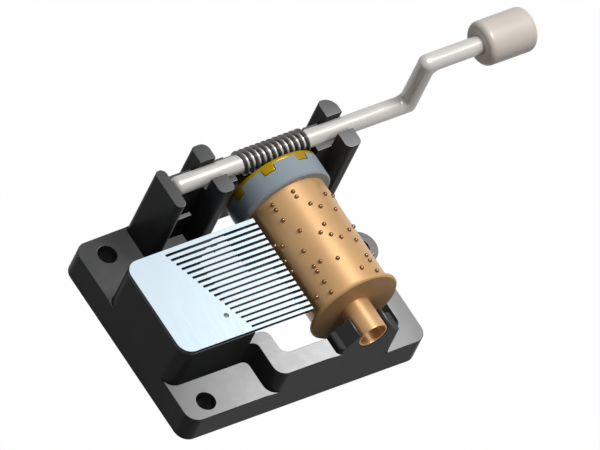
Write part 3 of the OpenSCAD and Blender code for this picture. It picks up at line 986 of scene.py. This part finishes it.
@dataclass(frozen=True)
class Knob(Assembly):
    """The handle's knob, with round shoulders and a blind bore.

    Args:
        rounding: The radius of its shoulders.
        bore: The radius of its bore.
        floor: The thickness past the bore's end.
        lip: The width of the bevel round the bore's mouth.
        shoulder_steps: How many steps each shoulder has.
    """

    body: ClassVar[Body] = Body.KNOB
    rounding: float = 1.15 * MM
    bore: float = 1.7 * MM
    floor: float = 1.5 * MM
    lip: float = 0.1 * MM
    shoulder_steps: int = 10

    def build(self) -> None:
        """Turn the knob from the bottom of its bore round to its far end."""
        block = Block.of("knob")
        near, far = block.low.x, block.high.x
        inner = block.size.z / 2 - self.rounding
        bore = [(0, far - self.floor), (self.bore, far - self.floor),
                (self.bore, near + self.lip), (self.bore + self.lip, near)]
        shoulders = [
            *arc((inner, near + self.rounding), self.rounding, -QUARTER, 0, self.shoulder_steps),
            *arc((inner, far - self.rounding), self.rounding, 0, QUARTER, self.shoulder_steps),
        ]
        self.turn_part("knob", KNOB_GREY, Axis.X, [*bore, *shoulders, (0, far)])


@dataclass(frozen=True)
class Lamp:
    """A soft square lamp.

    Args:
        name: Its name.
        aim: The point that it faces.
        offset: Where it hangs, from that point.
        width: The width of its panel.
        power: Its power in watts.
        shows_on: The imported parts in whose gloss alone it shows, or none for a lamp that
            lights everything.
    """

    name: str
    aim: Vector
    offset: Place
    width: float
    power: float
    shows_on: tuple[str, ...] = ()

    def build(self) -> None:
        """Hang the lamp."""
        data = bpy.data.lights.new(self.name, "AREA")
        data.shape = "SQUARE"
        data.size = self.width
        data.energy = self.power
        lamp = bpy.data.objects.new(self.name, data)
        lamp.location = self.aim + Vector(self.offset)
        lamp.rotation_euler = (-Vector(self.offset)).to_track_quat("-Z", "Y").to_euler()
        lamp.visible_camera = False
        lamp.visible_diffuse = not self.shows_on
        bpy.context.scene.collection.objects.link(lamp)
        if self.shows_on:
            pieces = [finished(node) for node in self.shows_on]
            lamp.light_linking.receiver_collection = self.group("receivers", *pieces)
            lamp.light_linking.blocker_collection = self.group("blockers", "studio_floor")

    def group(self, purpose: str, *names: str) -> bpy.types.Collection:
        """Put objects into a collection of the lamp's own.

        Args:
            purpose: The last word of the collection's name.
            *names: The objects' names.

        Returns:
            The collection.
        """
        collection = bpy.data.collections.new(f"{self.name}_{purpose}")
        for name in names:
            collection.objects.link(bpy.data.objects[name])
        return collection


@dataclass(frozen=True)
class Studio:
    """The camera at the photograph's angle, the lamps, the white room and its floor.

    Args:
        azimuth: The camera's turn round the object in degrees, 0 being in front.
        elevation: Its height above the horizon in degrees.
        roll: Its turn about its own line of sight in degrees.
        view_width: The width that the image covers.
        aim: The point of the bed's underside plane at the image's middle.
        distance: From the aim to the camera.
        near_limit: How near to the camera things are drawn.
        far_limit: How far from it they are drawn.
        floor_width: The width of the floor.
        floor_drop: How far the floor lies under the bed, so that the two don't flicker.
        floor_grey: The brightness of the floor's own colour, which shows in its shadow.
        floor_glow: The share of the floor that is plain white to the camera.
        room_light: The strength of the room's light on the object.
        overhead: Where the soft lamp hangs, from the object's middle.
        bright_sheen: Where the lamp that shows in the bright pieces hangs, from there.
        bed_sheen: Where the lamps that show in the bed and the comb hang, from their aim.
        sheen_gap: How far in front of the bed those two aim.
        sheen_height: How high they aim.
    """

    azimuth: float = -54.37
    elevation: float = 50.40
    roll: float = 27.18
    view_width: float = 101.69 * MM
    aim: Place = (39.93 * MM, 11.80 * MM, 0)
    distance: float = 400 * MM
    near_limit: float = 1 * MM
    far_limit: float = 10.0
    floor_width: float = 6.0
    floor_drop: float = 0.02 * MM
    floor_grey: float = 0.2
    floor_glow: float = 0.99
    room_light: float = 0.14
    overhead: Place = (105 * MM, -20 * MM, 406 * MM)
    bright_sheen: Place = (10 * MM, -10 * MM, 420 * MM)
    bed_sheen: Place = (78 * MM, 56 * MM, 116 * MM)
    sheen_gap: float = 1 * MM
    sheen_height: float = 8 * MM

    def build(self) -> None:
        """Set up the camera, the room and the floor."""
        bpy.context.scene.view_settings.view_transform = "Standard"
        self.build_camera()
        self.build_room()
        self.build_floor()

    def build_camera(self) -> None:
        """Place an orthographic camera."""
        turn, rise = math.radians(self.azimuth), math.radians(self.elevation)
        back = Vector((math.sin(turn) * math.cos(rise), -math.cos(turn) * math.cos(rise),
                       math.sin(rise)))
        right = Vector((math.cos(turn), math.sin(turn), 0))
        level = Matrix((right, back.cross(right), back)).transposed().to_4x4()
        data = bpy.data.cameras.new("camera")
        data.type = "ORTHO"
        data.ortho_scale = self.view_width
        data.clip_start = self.near_limit
        data.clip_end = self.far_limit
        camera = bpy.data.objects.new("camera", data)
        camera.matrix_world = (Matrix.Translation(Vector(self.aim) + self.distance * back) @ level
                               @ Matrix.Rotation(math.radians(self.roll), 4, "Z"))
        bpy.context.scene.collection.objects.link(camera)
        bpy.context.scene.camera = camera

    def build_room(self) -> None:
        """Make the room white, with an even light."""
        world = bpy.data.worlds.new("room")
        world.use_nodes = True
        bpy.context.scene.world = world
        graph = Graph(world.node_tree)
        background = graph.tree.nodes["Background"]
        graph.put(background.inputs["Color"], WHITE)
        graph.put(background.inputs["Strength"], graph.ramp(graph.seen(), low=self.room_light))

    def build_floor(self) -> None:
        """Lay a plain white floor that keeps a pale shadow."""
        deselect()
        bpy.ops.mesh.primitive_plane_add(size=self.floor_width,
                                         location=(0, 0, -self.floor_drop))
        floor = bpy.context.active_object
        floor.name = "studio_floor"
        material = bpy.data.materials.new("studio_white")
        material.use_nodes = True
        graph = Graph(material.node_tree)
        graph.tree.nodes.remove(graph.tree.nodes["Principled BSDF"])
        matt = graph.add("ShaderNodeBsdfDiffuse", {"Color": 3 * (self.floor_grey,)})
        glow = graph.add("ShaderNodeEmission")
        share = graph.ramp(graph.seen(), high=self.floor_glow)
        mix = graph.add("ShaderNodeMixShader", {0: share, 1: matt.outputs["BSDF"],
                                                2: glow.outputs["Emission"]})
        graph.put(graph.tree.nodes["Material Output"].inputs["Surface"], mix.outputs["Shader"])
        floor.data.materials.append(material)

    def build_lamps(self) -> None:
        """Hang the soft lamp, and those that show in the gloss of some pieces alone."""
        middle = (CAD_BOX[0] + CAD_BOX[1]) / 2
        bed = Block.of("bed_frame")
        front = Vector((bed.centre.x, bed.low.y - self.sheen_gap, self.sheen_height))
        bright_pieces = ("cylinder_shell", "end_flange", "arbor_tube", "melody_pins",
                         "crank_rod", "worm_thread", "knob")
        for lamp in (
            Lamp("overhead_lamp", middle, self.overhead, width=130 * MM, power=1.6),
            Lamp("bed_sheen_lamp", front, self.bed_sheen, width=20 * MM, power=1.35,
                 shows_on=("bed_frame",)),
            Lamp("comb_sheen_lamp", front, self.bed_sheen, width=20 * MM, power=0.14,
                 shows_on=("comb",)),
            Lamp("metal_sheen_lamp", middle, self.bright_sheen, width=40 * MM, power=3.0,
                 shows_on=bright_pieces),
        ):
            lamp.build()


def main() -> None:
    """Build the studio, every sub-assembly and the lamps."""
    logging.basicConfig(level=logging.INFO, format="%(message)s")
    studio = Studio()
    studio.build()
    for assembly in (Bed(), Comb(), Cylinder(), Drive(), MelodyPins(), Crank(), Worm(), Knob()):
        assembly.build()
    studio.build_lamps()


if __name__ == "__main__":
    main()
